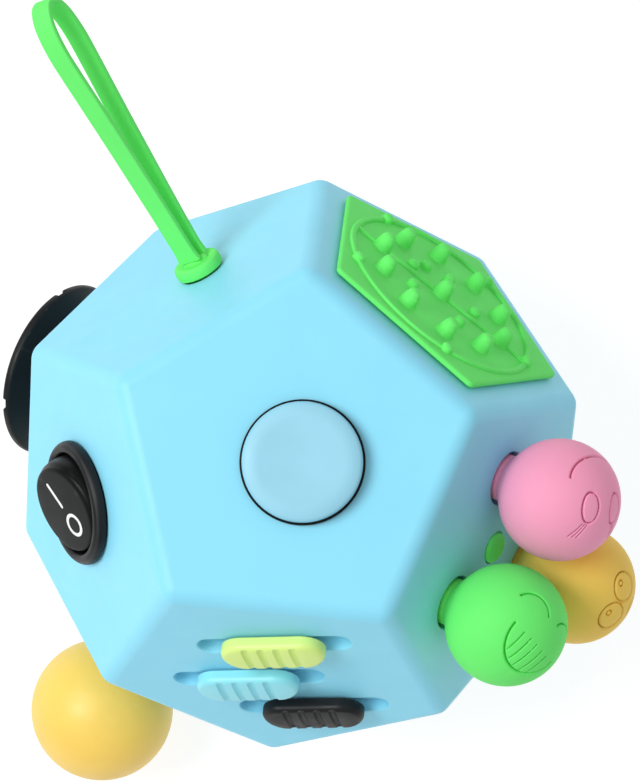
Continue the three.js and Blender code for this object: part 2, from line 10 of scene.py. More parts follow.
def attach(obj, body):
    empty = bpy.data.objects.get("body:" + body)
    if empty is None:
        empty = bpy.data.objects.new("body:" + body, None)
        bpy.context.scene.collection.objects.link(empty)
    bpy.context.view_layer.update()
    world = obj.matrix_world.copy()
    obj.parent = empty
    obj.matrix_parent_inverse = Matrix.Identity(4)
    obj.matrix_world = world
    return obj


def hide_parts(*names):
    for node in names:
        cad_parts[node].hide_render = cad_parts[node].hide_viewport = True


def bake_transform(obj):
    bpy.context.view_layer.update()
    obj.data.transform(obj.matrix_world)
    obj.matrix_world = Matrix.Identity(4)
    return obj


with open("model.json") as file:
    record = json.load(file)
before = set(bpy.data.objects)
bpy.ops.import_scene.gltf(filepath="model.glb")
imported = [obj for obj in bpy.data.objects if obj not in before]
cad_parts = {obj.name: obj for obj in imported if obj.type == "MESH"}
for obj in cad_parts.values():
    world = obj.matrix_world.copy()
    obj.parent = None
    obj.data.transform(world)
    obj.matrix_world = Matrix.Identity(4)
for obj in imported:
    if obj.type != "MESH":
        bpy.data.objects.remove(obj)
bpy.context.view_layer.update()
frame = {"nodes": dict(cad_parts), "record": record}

# Lengths are in millimetres down to the mesh builder, which writes metres.
MM = 0.001
INRADIUS, FILLET, WALL, GAP, BASE_PROUD = 30.0, 2.5, 2.2, 0.3, 1.2
BODY_Z = INRADIUS + BASE_PROUD
INSIDE = -WALL


# ---- camera and light ----
# The camera looks almost straight down on the toy, from far off through a long lens.
LENS, SENSOR = 159.8, 36.0
CAMERA_AT, CAMERA_TOWARDS, CAMERA_LEAN = (13.0, -18.3, 478.7), (2.06, 9.97, BODY_Z), 5.27
KEY_AT, KEY_SIZE, KEY_WATTS = (-464, 25, 703), 420, 4.2
SKY_BELOW, SKY_ABOVE = 0.16, 0.78


def aim(obj, at, towards, lean):
    """Stands obj at a point and turns its -Z towards another; its up side leans to -X by lean degrees."""
    back = (Vector(at) - Vector(towards)).normalized()
    up = Vector((-math.sin(math.radians(lean)), math.cos(math.radians(lean)), 0))
    right = up.cross(back).normalized()
    turn = Matrix((right, back.cross(right), back)).transposed()
    obj.matrix_world = Matrix.LocRotScale(Vector(at) * MM, turn, None)


scene = bpy.context.scene
camera_data = bpy.data.cameras.new("camera")
camera_data.lens = LENS
camera_data.sensor_width = SENSOR
camera = bpy.data.objects.new("camera", camera_data)
scene.collection.objects.link(camera)
aim(camera, CAMERA_AT, CAMERA_TOWARDS, CAMERA_LEAN)
camera_data.clip_start, camera_data.clip_end = 0.01, 50.0
scene.camera = camera
scene.view_settings.view_transform = "Standard"

key_light = bpy.data.lights.new("key", "AREA")
key_light.shape = "DISK"
key_light.size = KEY_SIZE * MM
key_light.energy = KEY_WATTS
key = bpy.data.objects.new("key", key_light)
scene.collection.objects.link(key)
aim(key, KEY_AT, (0, 0, BODY_Z), 0)

# White light from all round, which grows towards the top of the sky.
world = bpy.data.worlds.new("studio")
world.use_nodes = True
sky = world.node_tree.nodes
sky["Background"].inputs["Color"].default_value = (1, 1, 1, 1)
way = sky.new("ShaderNodeSeparateXYZ")
rise = sky.new("ShaderNodeMapRange")
rise.inputs["To Min"].default_value = SKY_BELOW
rise.inputs["To Max"].default_value = SKY_ABOVE
world.node_tree.links.new(sky.new("ShaderNodeTexCoord").outputs["Generated"], way.inputs["Vector"])
world.node_tree.links.new(way.outputs["Z"], rise.inputs["Value"])
world.node_tree.links.new(rise.outputs["Result"], sky["Background"].inputs["Strength"])
scene.world = world


# ---- materials ----
def shade(name, colour, rough, metal=0.0, specular=0.5, spots=0.03, spot_size=7.0, rough_vary=0.06,
          grain=0.25, grain_size=0.3, deep=0.02, wear=0.0, streak=None, scatter=0.0, glow=0.0, painted_crevice_shade=0.0):
    """A moulded or turned finish: cloudy colour, uneven gloss and a fine surface grain.

    wear makes the edges paler, painted shade makes the grooves darker, and streak stretches gloss and grain.
    """
    mat = bpy.data.materials.new(name)
    mat.use_nodes = True
    mat.diffuse_color = (*colour, 1)
    tree = mat.node_tree
    nodes, links = tree.nodes, tree.links
    bsdf = nodes["Principled BSDF"]
    bsdf.inputs["Metallic"].default_value = metal
    bsdf.inputs["Specular IOR Level"].default_value = specular
    bsdf.inputs["Subsurface Weight"].default_value = scatter
    bsdf.inputs["Subsurface Scale"].default_value = 1.2 * MM
    bsdf.inputs["Subsurface Radius"].default_value = (1.0, 1.0, 1.0)
    bsdf.inputs["Emission Color"].default_value = (1, 1, 1, 1)
    bsdf.inputs["Emission Strength"].default_value = glow
    place = nodes.new("ShaderNodeTexCoord").outputs["Object"]

    def noise(size, detail=2.0, stretch=None):
        source = place
        if stretch:
            mapping = nodes.new("ShaderNodeMapping")
            mapping.inputs["Scale"].default_value = stretch
            links.new(place, mapping.inputs["Vector"])
            source = mapping.outputs["Vector"]
        tex = nodes.new("ShaderNodeTexNoise")
        tex.inputs["Scale"].default_value = 1 / (size * MM)
        tex.inputs["Detail"].default_value = detail
        links.new(source, tex.inputs["Vector"])
        return tex.outputs["Fac"]

    def spread(value, low, high, to_low, to_high):
        node = nodes.new("ShaderNodeMapRange")
        for socket, number in zip(("From Min", "From Max", "To Min", "To Max"), (low, high, to_low, to_high)):
            node.inputs[socket].default_value = number
        links.new(value, node.inputs["Value"])
        return node.outputs["Result"]

    def blended(factor, first, second):
        node = nodes.new("ShaderNodeMix")
        node.data_type = "RGBA"
        links.new(factor, node.inputs["Factor"])
        for socket, value in (("A", first), ("B", second)):
            target = [s for s in node.inputs if s.name == socket and s.type == "RGBA"][0]
            if isinstance(value, tuple):
                target.default_value = (*value, 1)
            else:
                links.new(value, target)
        return [s for s in node.outputs if s.type == "RGBA"][0]

    darker, lighter = (tuple(min(1.0, c * factor) for c in colour) for factor in (1 - spots, 1 + spots))
    tint = blended(spread(noise(spot_size, 3.0), 0.3, 0.7, 0, 1), darker, lighter)
    # Painted shade: hollows found by pointiness get a darker colour, in place of the shade that falls in
    # grooves.
    if painted_crevice_shade:
        sunk = spread(nodes.new("ShaderNodeNewGeometry").outputs["Pointiness"], 0.455, 0.495, painted_crevice_shade, 0)
        tint = blended(sunk, tint, tuple(0.62 * c ** 1.7 for c in colour))
    if wear:
        edge = spread(nodes.new("ShaderNodeNewGeometry").outputs["Pointiness"], 0.52, 0.6, 0, wear)
        tint = blended(edge, tint, tuple(c + (1 - c) * 0.35 for c in colour))
    links.new(tint, bsdf.inputs["Base Color"])
    gloss = noise(2.4, 4.0, streak)
    links.new(spread(gloss, 0.3, 0.7, rough - rough_vary, rough + rough_vary), bsdf.inputs["Roughness"])
    bump = nodes.new("ShaderNodeBump")
    bump.inputs["Strength"].default_value = grain
    bump.inputs["Distance"].default_value = deep * MM
    links.new(noise(grain_size, 3.0, streak), bump.inputs["Height"])
    links.new(bump.outputs["Normal"], bsdf.inputs["Normal"])
    return mat


MATERIALS = {
    "body_blue": shade("body_blue", (0.272, 0.735, 0.935), 0.45, specular=0.3, spots=0.015, grain=0.2),
    "pad_blue": shade("pad_blue", (0.30, 0.64, 0.80), 0.5, wear=0.2, grain=0.35, grain_size=0.22),
    "sky_blue": shade("sky_blue", (0.27, 0.76, 0.87), 0.42, wear=0.25),
    "blue_silicone": shade("blue_silicone", (0.25, 0.62, 0.82), 0.6, grain=0.5, grain_size=0.25, scatter=0.1),
    # The green, pink and yellow silicones below have painted shade darkening their grooves and engraved
    # strokes.
    "green_silicone": shade("green_silicone", (0.15, 0.86, 0.165), 0.66, specular=0.2, grain=0.35,
                            grain_size=0.25, scatter=0.04, spots=0.02, painted_crevice_shade=0.95),
    "pink_silicone": shade("pink_silicone", (0.90, 0.34, 0.51), 0.62, specular=0.25, grain=0.35,
                           grain_size=0.25, scatter=0.04, spots=0.015, painted_crevice_shade=0.95),
    "yellow_silicone": shade("yellow_silicone", (0.88, 0.60, 0.11), 0.62, specular=0.25, grain=0.35,
                             grain_size=0.25, scatter=0.04, spots=0.015, painted_crevice_shade=0.95),
    "pink_plastic": shade("pink_plastic", (0.90, 0.36, 0.53), 0.4, wear=0.25),
    "yellow_plastic": shade("yellow_plastic", (0.95, 0.64, 0.12), 0.45, wear=0.15, grain=0.3),
    "green_plastic": shade("green_plastic", (0.16, 0.74, 0.18), 0.4, wear=0.25),
    "lime_plastic": shade("lime_plastic", (0.69, 0.90, 0.24), 0.42, wear=0.2),
    "black_plastic": shade("black_plastic", (0.0075, 0.008, 0.009), 0.46, specular=0.25, wear=0.04,
                           spots=0.15, rough_vary=0.08, grain=0.35, grain_size=0.2),
    "grey_plastic": shade("grey_plastic", (0.24, 0.26, 0.27), 0.5, wear=0.15),
    "grey_rubber": shade("grey_rubber", (0.16, 0.165, 0.17), 0.75, grain=0.5),
    "steel": shade("steel", (0.62, 0.63, 0.64), 0.3, metal=1.0, spots=0.05, grain=0.2, deep=0.01,
                   streak=(1, 1, 24)),
    "brass": shade("brass", (0.72, 0.52, 0.22), 0.35, metal=1.0, spots=0.06, grain=0.2, deep=0.01),
}
DEEP_BLACK = shade("deep_black", (0.0055, 0.006, 0.006), 0.36, specular=0.12, wear=0.04, spots=0.15,
                   rough_vary=0.05, grain=0.25, grain_size=0.2)
WHITE_PAINT = shade("white_paint", (0.86, 0.87, 0.87), 0.45, spots=0.02, grain=0.3)
FLOOR = shade("floor_paper", (0.34, 0.34, 0.34), 0.8, specular=0.1, spots=0.004, spot_size=90,
              rough_vary=0.03, grain=0.05, grain_size=2.0, glow=0.78)


# ---- mesh building ----
def skin(rings, loop=False):
    """A closed skin over rings of points, as (points, faces); a ring of one point is a pole."""
    verts = np.concatenate([np.asarray(r, float).reshape(-1, 3) for r in rings])
    counts = [len(r) for r in rings]
    starts = np.concatenate([[0], np.cumsum(counts)])
    faces = []
    pairs = [(k, k + 1) for k in range(len(rings) - 1)]
    if loop:
        pairs.append((len(rings) - 1, 0))
    for a, b in pairs:
        (sa, na), (sb, nb) = (starts[a], counts[a]), (starts[b], counts[b])
        for i in range(max(na, nb)):
            j = (i + 1) % max(na, nb)
            face = [sa + i % na, sa + j % na, sb + j % nb, sb + i % nb]
            if na == 1:
                face = [sa, sb + j, sb + i]
            elif nb == 1:
                face = [sa + i, sa + j, sb]
            faces.append([int(v) for v in face])
    if not loop:
        for k in (0, len(rings) - 1):
            if counts[k] > 2:
                faces.append([int(starts[k] + i) for i in range(counts[k])])
    return verts, faces


def soften(points, steps=5):
    """Rounds the corners of a line of (x, y, reach) points: each corner is cut back by its reach."""
    out = []
    for k, p in enumerate(points):
        reach = p[2] if len(p) > 2 else 0
        here = Vector(p[:2])
        if not reach or k in (0, len(points) - 1):
            out.append(tuple(here))
            continue
        arms = [Vector(points[k + d][:2]) - here for d in (-1, 1)]
        start, end = [here + arm.normalized() * min(reach, arm.length * 0.5) for arm in arms]
        for i in range(steps + 1):
            t = i / steps
            out.append(tuple(start * (1 - t) ** 2 + here * 2 * t * (1 - t) + end * t * t))
    return out


def revolve(profile, count=96, loop=False, tweak=None):
    """A solid turned from a line of (radius, height) points; tweak may change each ring of it."""
    turns = np.arange(count) * 2 * math.pi / count
    rings = []
    for r, z in profile:
        if r < 1e-6:
            rings.append(np.array([[0, 0, z]]))
            continue
        ring = np.stack([r * np.cos(turns), r * np.sin(turns), np.full(count, z)], 1)
        rings.append(tweak(ring, turns, r, z) if tweak else ring)
    return skin(rings, loop)


def slab(outline, levels):
    """A solid over an outline: levels are (inset, height) from the underside over the edge to the middle."""
    rings = []
    for inset, z in levels:
        xy = outline(inset)
        rings.append(np.column_stack([xy, np.full(len(xy), float(z))]))
    return skin(rings)


def stadium(length, width, straight=40, bend=24):
    """Outline of a bar with round ends, as a function of its inset."""
    half = (length - width) / 2

    def at(inset):
        r = max(width / 2 - inset, 0.002)
        run = np.linspace(-half, half, straight, endpoint=False)
        turn = np.linspace(-math.pi / 2, math.pi / 2, bend, endpoint=False)
        return np.concatenate([
            np.column_stack([run, np.full(straight, -r)]),
            np.column_stack([half + r * np.cos(turn), r * np.sin(turn)]),
            np.column_stack([-run, np.full(straight, r)]),
            np.column_stack([-half - r * np.cos(turn), -r * np.sin(turn)]),
        ])

    return at


def pentagon(inradius, corner, first=-90.0, bend=8, straight=10):
    """Outline of a pentagon with round corners, as a function of its inset."""

    def at(inset):
        apothem = inradius - inset
        r = max(corner - inset, 0.15)
        out = []
        for k in range(5):
            centre = (apothem - r) / math.cos(math.radians(36))
            a = math.radians(first + 72 * k)
            c = np.array([math.cos(a), math.sin(a)]) * centre
            turn = a + np.linspace(-math.radians(36), math.radians(36), bend)
            out.append(c + r * np.column_stack([np.cos(turn), np.sin(turn)]))
            b = math.radians(first + 72 * (k + 1))
            d = np.array([math.cos(b), math.sin(b)]) * centre
            start = c + r * np.array([math.cos(turn[-1]), math.sin(turn[-1])])
            end = d + r * np.array([math.cos(b - math.radians(36)), math.sin(b - math.radians(36))])
            t = np.linspace(0, 1, straight + 2)[1:-1, None]
            out.append(start + (end - start) * t)
        return np.concatenate(out)

    return at


def spline(points, steps):
    """Catmull-Rom curve through points, each span in steps."""
    ends = np.vstack([2 * points[0] - points[1], points, 2 * points[-1] - points[-2]])
    t = np.linspace(0, 1, steps, endpoint=False)[:, None]
    out = []
    for a, b, c, d in zip(ends, ends[1:], ends[2:], ends[3:]):
        out.append(0.5 * (2 * b + (c - a) * t + (2 * a - 5 * b + 4 * c - d) * t ** 2
                          + (3 * b - a - 3 * c + d) * t ** 3))
    return np.vstack([*out, points[-1:]])


def rounded_bar(thick, width, corner, steps=6):
    """Outline of a flat band's cross-section with round corners."""
    out = []
    for sx, sy, start in ((1, 1, 0), (-1, 1, 90), (-1, -1, 180), (1, -1, 270)):
        cx, cy = sx * (thick / 2 - corner), sy * (width / 2 - corner)
        for k in range(steps + 1):
            a = math.radians(start + 90 * k / steps)
            out.append((cx + corner * math.cos(a), cy + corner * math.sin(a)))
    return np.array(out)


def moved(part, x=0.0, y=0.0, z=0.0, turn=0.0, matrix=None):
    """The same part shifted and turned about +Z, or put through a matrix."""
    verts, faces = part
    m = matrix or Matrix.Translation((x, y, z)) @ Matrix.Rotation(math.radians(turn), 4, "Z")
    m = np.array(m)
    return verts @ m[:3, :3].T + m[:3, 3], faces


def mesh_object(name, parts, place, sharp=35.0):
    """One object from several closed parts, in the row frame, with smooth shading up to a sharp angle."""
    verts, faces, base = [], [], 0
    m = np.array(place)
    for v, f in parts:
        verts.append((v @ m[:3, :3].T + m[:3, 3]) * MM)
        faces.extend([[i + base for i in face] for face in f])
        base += len(v)
    mesh = bpy.data.meshes.new(name)
    mesh.from_pydata(np.concatenate(verts).tolist(), [], faces)
    work = bmesh.new()
    work.from_mesh(mesh)
    bmesh.ops.recalc_face_normals(work, faces=work.faces)
    work.to_mesh(mesh)
    work.free()
    mesh.polygons.foreach_set("use_smooth", [True] * len(mesh.polygons))
    mesh.set_sharp_from_angle(angle=math.radians(sharp))
    obj = bpy.data.objects.new(name, mesh)
    scene.collection.objects.link(obj)
    return obj


def finished(obj, body, slot=None, stands_for=(), material=None):
    """Gives a piece its material, puts it under its body and hides the CAD nodes it stands for."""
    obj.data.materials.clear()
    obj.data.materials.append(material or MATERIALS[slot])
    if body:
        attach(obj, body)
    if stands_for:
        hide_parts(*stands_for)
    return obj


def piece(name, parts, place, body, slot, stands_for=(), sharp=35.0, material=None):
    """Builds a piece from its parts and finishes it."""
    return finished(mesh_object(name, parts, place, sharp), body, slot, stands_for, material)


# ---- the twelve sides ----
RING_Z = 1 / math.sqrt(5)


def ring_normal(azimuth):
    """Outward normal of the upper side that faces this way round; the lower sides are opposite."""
    a = math.radians(azimuth)
    return Vector((2 * RING_Z * math.sin(a), 2 * RING_Z * math.cos(a), RING_Z))


def side_frame(normal, towards):
    """Frame in the middle of a side: +Z out of it and +Y along it in the given direction."""
    y = (towards - normal * normal.dot(towards)).normalized()
    m = Matrix((y.cross(normal), y, normal)).transposed().to_4x4()
    m.translation = normal * INRADIUS + Vector((0, 0, BODY_Z))
    return m


UP, NORTH = Vector((0, 0, 1)), Vector((0, 1, 0))
upper = [ring_normal(a) for a in (-36, 36, 108, 180, 252)]
lower = [-n for n in upper]
normals = [UP, *upper, *lower, -UP]
SIDE = {"glide": side_frame(UP, NORTH), "base": side_frame(-UP, NORTH)}
for label, normal in zip(("strap", "mat", "balls", "sliders", "rocker"), upper):
    SIDE[label] = side_frame(normal, UP)
for label, normal in zip(("buttons", "stick", "dial", "gears", "stone"), lower):
    SIDE[label] = side_frame(normal, UP)


def spot(side, x=0.0, y=0.0, turn=0.0):
    return SIDE[side] @ Matrix.Translation((x, y, 0)) @ Matrix.Rotation(math.radians(turn), 4, "Z")


def about(radius, degrees):
    """Point of a circle round the frame's origin."""
    return radius * math.cos(math.radians(degrees)), radius * math.sin(math.radians(degrees))


# ---- glide pad ----
GLIDE = (1.5, -0.7)
CAP, FLANGE, STEM, TRAVEL = 7.3, 7.6, 2.0, 1.5


def glide_pad():
    place = spot("glide", *GLIDE)
    cap = soften([(0, 1.0), (CAP - 0.15, 1.0, 0.1), (CAP, 1.25, 0.15), (CAP - 0.02, 2.15, 0.5),
                  (CAP - 1.3, 2.6, 0.9), (CAP - 3.2, 2.5, 1.5), (0, 2.34)], 8)
    piece("glide_top", [revolve(cap, 128)], place, "glide_pad", "pad_blue", ["glide_cap"], 30)
    stem = soften([(0, -7.8), (STEM, -7.8, 0.3), (STEM, 0.3, 0.4), (FLANGE, 0.3, 0.12), (FLANGE, 0.7, 0.12),
                   (CAP - 0.5, 0.7), (CAP - 0.5, 0.95), (0, 0.95)])
    piece("glide_flange", [revolve(stem, 128)], place, "glide_pad", "black_plastic", ["glide_stem"],
          material=DEEP_BLACK)


# ---- wrist strap ----
STRAP = (-2.2, 1.0)
STRAP_TURN, STRAP_WIDTH, STRAP_THICK, STRAP_ROOT, STRAP_HINGE, STRAP_TOP = 54.0, 2.7, 0.8, 2.2, 3.5, 40.4
BEND_END, COLLAR_OVAL = 6.0, 0.92


def strap_loop():
    place = spot("strap", *STRAP)
    collar = soften([(0, -3.7), (4, -3.7), (4, INSIDE - GAP), (2.0, INSIDE - GAP), (2.0, GAP),
                     (3.1, GAP, 0.1), (3.2, 1.15, 0.3), (3.05, 1.75, 0.25), (2.5, 1.9, 0.3), (1.9, 1.75, 0.3),
                     (0, 1.7)])
    verts, faces = revolve(collar, 96)
    across = place @ Matrix.Rotation(math.radians(90 + STRAP_TURN), 4, "Z")
    piece("strap_collar", [(verts * np.array([1, COLLAR_OVAL, 1]), faces)], across, "root", "green_silicone",
          ["strap_grommet"])

    half = [(0.95, STRAP_ROOT + 0.1), (1.0, STRAP_HINGE), (1.25, 10), (1.8, 20), (2.16, 25.5), (2.55, 31),
            (2.68, 34.5), (2.22, 37.7), (1.2, 39.5), (0, STRAP_TOP - STRAP_THICK / 2)]
    corners = [(-x, y) for x, y in half] + [(x, y) for x, y in reversed(half[:-1])]
    route = spline(np.array(corners), 26)
    along = np.gradient(route, axis=0)
    along /= np.linalg.norm(along, axis=1)[:, None]
    out = np.column_stack([-along[:, 1], along[:, 0]])
    edge = rounded_bar(STRAP_THICK, STRAP_WIDTH, 0.22)
    rings = []
    for p, n in zip(route, out):
        flare = 1 + 0.3 * np.clip((4.6 - p[1]) / 3, 0, 1) ** 2
        thick, wide = edge[:, 0], edge[:, 1] * flare
        rings.append(np.column_stack([p[0] + n[0] * thick, p[1] + n[1] * thick, wide]))
    root = soften([(0, 1.6), (1.7, 1.6), (1.5, 2.2, 0.4), (0.8, 2.5, 0.3), (0, 2.5)])
    verts, faces = revolve(root, 64)
    foot = (verts[:, [0, 2, 1]] * np.array([0.85, 1, 1.15]), faces)
    w = Vector((-math.sin(math.radians(STRAP_TURN)), math.cos(math.radians(STRAP_TURN)), 0))
    axes = Matrix((UP.cross(w), UP, w)).transposed().to_4x4()
    band = piece("strap_band", [skin(rings), foot], place @ axes, None, "green_silicone", ["strap_loop"], 40)
    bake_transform(band)


# ---- massage mat ----
MAT_CORNER, MAT_TOP, MAT_RING, MAT_CONES, MAT_TURN = 18.4, 1.05, 13.6, 9.5, 5.6
MAT_BEADS, MAT_BEAD_TURNS, RING_BEAD_TURN = 5.2, (51, 142, 207, 277, 319, 348), 41.6
MAT_PEGS, MAT_PEG_TURNS = 9, (30, 150, 270)


def massage_mat():
    place = SIDE["mat"]
    inradius = MAT_CORNER * math.cos(math.radians(36))
    outline = pentagon(inradius, 0.9, -90, 10, 24)
    plate = slab(outline, [(inradius - 0.2, GAP), (0.25, GAP), (0.05, GAP + 0.08), (0, 0.5), (0.02, 0.8),
                           (0.12, 0.96), (0.3, 1.03), (0.55, MAT_TOP), (inradius - 0.2, MAT_TOP)])
    top = MAT_TOP
    hoop = soften([(MAT_RING - 0.75, top - 0.05), (MAT_RING - 0.42, top + 0.02, 0.15),
                   (MAT_RING - 0.3, top + 0.42, 0.16), (MAT_RING + 0.3, top + 0.42, 0.16),
                   (MAT_RING + 0.42, top + 0.02, 0.15), (MAT_RING + 0.75, top - 0.05)])
    hoop.append((MAT_RING, top - 0.3))
    ring = revolve(hoop, 180, loop=True)
    section = np.array(soften([(-0.7, top - 0.05), (-0.36, top + 0.02, 0.12), (-0.26, top + 0.38, 0.14),
                               (0.26, top + 0.38, 0.14), (0.36, top + 0.02, 0.12), (0.7, top - 0.05)]))
    section = np.vstack([section, [0, top - 0.3]])
    bar = skin([np.column_stack([np.full(len(section), x), section])
                for x in np.linspace(-MAT_RING, MAT_RING, 30)])
    cone = soften([(0, top - 0.3), (1.5, top - 0.3), (1.5, top - 0.02, 0.05), (1.24, top + 0.06, 0.25),
                   (1.13, 1.9, 0.5), (0.92, 2.85, 0.5), (0.55, 3.28, 0.3), (0, 3.34)], 7)
    bead = soften([(0, top - 0.3), (1.05, top - 0.3), (1.05, top - 0.02, 0.05), (0.78, top + 0.04, 0.1),
                   (0.8, 1.6, 0.35), (0.5, 2.0, 0.35), (0, 2.07)], 7)
    parts = [plate, ring, moved(bar, turn=MAT_TURN), revolve(cone, 36)]
    for k in range(10):
        parts.append(moved(revolve(cone, 36), *about(MAT_CONES, MAT_TURN + 36 * k)))
    for k in range(5):
        parts.append(moved(revolve(bead, 28), *about(MAT_RING, RING_BEAD_TURN + 72 * k)))
    for degrees in MAT_BEAD_TURNS:
        parts.append(moved(revolve(bead, 28), *about(MAT_BEADS, degrees)))
    peg = revolve(soften([(0, -3), (0.8, -3), (1, -2.7, 0.1), (1, 0.6), (0, 0.6)]), 24)
    for degrees in MAT_PEG_TURNS:
        parts.append(moved(peg, *about(MAT_PEGS, degrees)))
    piece("mat_moulding", parts, place, "root", "green_silicone", ["massage_mat"], 50)


# ---- face balls ----
BALL_RADIUS, BALL_HEIGHT, BALL_RING, BALL_RING_Y, BALL_NECK, BALL_HOLE = 7.55, 7.75, 9.65, -1.13, 3.0, 3.5
NUB_Y, NUB_RADIUS = -0.8, 2.0
FACE_REACH, FINE_STEP, BALL_TURNS = 1.16, 0.0125, 330


def bow(cx, cy, rx, ry, start, end, steps=28):
    """An arc of an ellipse, in radians over the ball's surface."""
    a = np.radians(np.linspace(start, end, steps))
    return np.column_stack([cx + rx * np.cos(a), cy + ry * np.sin(a)])


def line(x0, y0, x1, y1):
    return np.array([[x0, y0], [x1, y1]])


def distance(points, bits):
    """How far each point is from a line of straight bits."""
    best = np.full(len(points), 9.0)
    for a, b in zip(bits, bits[1:]):
        d = b - a
        t = np.clip(((points - a) @ d) / (d @ d), 0, 1)
        best = np.minimum(best, np.linalg.norm(points - a - t[:, None] * d, axis=1))
    return best


def ball_place(k):
    """The three balls stand in a ring; k counts them round it."""
    x, y = about(BALL_RING, 30 + 120 * k)
    return spot("balls", x, y + BALL_RING_Y)


def engraved_ball(look, sideways, strokes):
    """A ball with strokes sunk into it round the direction look.

    Each stroke is (line, half width, depth): the line in radians over the ball, the others in mm.
    """
    c = Vector(look).normalized()
    s = Vector(sideways)
    s = (s - c * s.dot(c)).normalized()
    u = c.cross(s)
    if u.x < 0:
        u = -u
    fine = np.arange(0.012, FACE_REACH, FINE_STEP)
    coarse = np.linspace(FACE_REACH, math.pi, 34)[:-1]
    turns = np.arange(BALL_TURNS) * 2 * math.pi / BALL_TURNS
    flat = np.column_stack([np.cos(turns), np.sin(turns)])
    centre = np.array([0, 0, BALL_HEIGHT])
    rings = []
    for a in (0.0, *fine, *coarse, math.pi):
        if a in (0.0, math.pi):
            rings.append(np.array([centre + BALL_RADIUS * math.cos(a) * np.array(c)]))
            continue
        way = (math.cos(a) * np.array(c)[None]
               + math.sin(a) * (flat[:, :1] * np.array(s)[None] + flat[:, 1:] * np.array(u)[None]))
        sunk = np.zeros(BALL_TURNS)
        if a < FACE_REACH:
            for stroke, half, depth in strokes:
                off = distance(flat * a, stroke) * BALL_RADIUS
                sunk = np.maximum(sunk, depth * np.clip(1 - (off / half) ** 2, 0, 1) ** 1.3)
        rings.append(centre + way * (BALL_RADIUS - sunk)[:, None])
    return skin(rings)


def engraved_ball_up(look, up, strokes):
    """The same, with the direction that is up on the face instead of the one that is sideways."""
    c, u = Vector(look).normalized(), Vector(up)
    u = (u - c * u.dot(c)).normalized()
    m = Matrix((u.cross(c), u, c)).transposed()
    swapped = [(stroke[:, ::-1], half, depth) for stroke, half, depth in strokes]
    verts, faces = engraved_ball((0, 0, 1), (0, 1, 0), swapped)
    centre = np.array([0, 0, BALL_HEIGHT])
    return (verts - centre) @ np.array(m).T + centre, faces


def grin():
    """Two shut smiling eyes over a wide grin with teeth."""
    strokes = [(bow(cx, 0.18, 0.33, 0.33, 25, 155), 0.21, 0.32) for cx in (-0.42, 0.44)]
    strokes.append((bow(0, -0.16, 0.56, 0.58, 180, 360, 48), 0.21, 0.34))
    for x in (-0.33, -0.17, 0.0, 0.16, 0.32):
        low = -0.16 - 0.58 * math.sqrt(1 - (x / 0.56) ** 2)
        strokes.append((line(x + 0.02, -0.18, x, low), 0.14, 0.15))
    return strokes


def worried():
    """Round eyes under one arched brow line, with cheek strokes."""
    strokes = [(bow(cx, -0.05, 0.155, 0.26, 0, 360, 44), 0.2, 0.28) for cx in (-0.29, 0.29)]
    strokes.append((bow(-0.06, 0.36, 0.7, 0.52, 12, 200, 56), 0.21, 0.32))
    for side in (-1, 1):
        for k in range(3):
            cheek = line(side * (0.30 + 0.045 * k), -0.34, side * (0.40 + 0.075 * k), -0.60)
            strokes.append((cheek, 0.13, 0.14))
    return strokes


def surprised():
    """Two wide ring eyes with a small pupil, and a round mouth."""
    strokes = [(bow(cx, 0.13, 0.255, 0.255, 0, 360, 48), 0.2, 0.28) for cx in (-0.28, 0.27)]
    strokes += [(bow(cx + 0.03, 0.24, 0.05, 0.05, 0, 360, 16), 0.17, 0.22) for cx in (-0.28, 0.27)]
    strokes.append((bow(0, -0.42, 0.17, 0.17, 0, 360, 32), 0.2, 0.28))
    return strokes


def face_balls():
    neck = soften([(0, INSIDE + 0.45), (BALL_NECK, INSIDE + 0.45, 0.2), (BALL_NECK, 0.5, 0.4),
                   (3.5, 0.85, 0.4), (4.5, 1.85), (3.6, 2.7), (0, 2.7)])
    balls = (
        ("pink", (0.17, 0.32, 0.94), (-0.28, 0.935, -0.22), worried(), "pink_silicone"),
        ("green", (0.05, 0.42, 0.905), (0.341, 0.845, -0.413), grin(), "green_silicone"),
        ("yellow", (0.0, 0.1, 0.995), (0.99, 0.0, 0.0), surprised(), "yellow_silicone"),
    )
    for k, (name, look, sideways, strokes, slot) in enumerate(balls):
        if name == "yellow":
            part = engraved_ball_up(look, (0, 1, 0), strokes)
        else:
            part = engraved_ball(look, sideways, strokes)
        piece(f"ball_{name}", [part, revolve(neck, 64)], ball_place(k), f"face_ball_{name}", slot,
              [f"face_ball_{name}"], 60)
    nub = soften([(0, INSIDE - GAP - 0.2), (NUB_RADIUS, INSIDE - GAP - 0.2), (NUB_RADIUS, 0.2, 0.1),
                  (1.75, 0.5, 0.3), (1.0, 0.74, 0.4), (0, 0.76)])
    sheet = soften([(0, -3.7), (13.4, -3.7, 0.2), (13.4, INSIDE - GAP, 0.2), (0, INSIDE - GAP)])
    piece("ball_sheet_moulding", [revolve(sheet, 96), moved(revolve(nub, 48), y=NUB_Y)], SIDE["balls"],
          "root", "green_silicone", ["ball_sheet"])


# ---- sliders ----
SLIDER_TURN, SLOT_LENGTH, SLOT_WIDTH, RECESS = 15.0, 19.4, 3.6, 1.5
KNOB_LENGTH, KNOB_WIDTH, KNOB_TOP, KNOB_NECK, KNOB_NECK_WIDTH = 13.1, 5.75, 2.2, 5.0, 2.0
SLIDER_PLACES, SLIDER_TRAVEL = ((2.1, 8.5), (-3.4, -0.3), (3.0, -8.7)), 3
GROOVES, GROOVE_HALF, GROOVE_DEPTH = (-3.0, -1.0, 1.0, 3.0), 0.46, 0.4


def slider_place(x, y):
    return spot("sliders", 0, 0, SLIDER_TURN) @ Matrix.Translation((x, y, 0))


